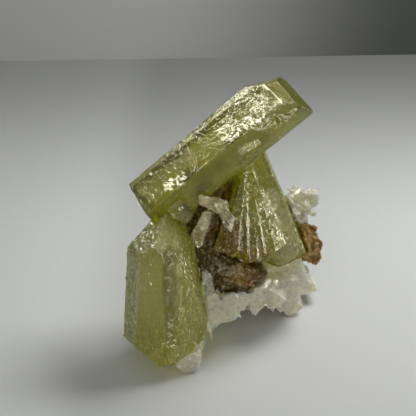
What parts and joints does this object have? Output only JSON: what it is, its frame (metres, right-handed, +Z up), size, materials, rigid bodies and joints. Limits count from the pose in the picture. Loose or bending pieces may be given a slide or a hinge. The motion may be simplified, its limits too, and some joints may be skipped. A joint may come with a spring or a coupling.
{
  "type": "brazilianite on albite specimen",
  "caption": "Mineral specimen: yellow-green prismatic brazilianite crystals grown on white bladed albite with brown iron staining.",
  "frame": {"origin": "middle of the specimen's bounding box, on the surface that it stands on", "axes": "+Z up, the pictured front looks along -Y, and the long crystal rises towards +X"},
  "size_m": [0.0408, 0.0338, 0.0553],
  "materials": {
    "brazilianite": "clear to milky yellow-green crystal with etched, pitted faces",
    "albite": "white translucent bladed feldspar with pearly cleavage",
    "iron_stain": "rough brown iron-stained crust"
  },
  "bodies": {
    "root": {"brazilianite_top_prism": "brazilianite", "brazilianite_left_prism": "brazilianite", "brazilianite_knob": "brazilianite", "brazilianite_fan": "brazilianite", "albite_blade_upper": "albite", "albite_blade_side": "albite", "albite_blade_lower": "albite", "albite_foot": "albite", "albite_rosette": "albite", "albite_matrix": "albite", "iron_nodule": "iron_stain", "iron_stained_core": "iron_stain"}
  },
  "joints": []
}
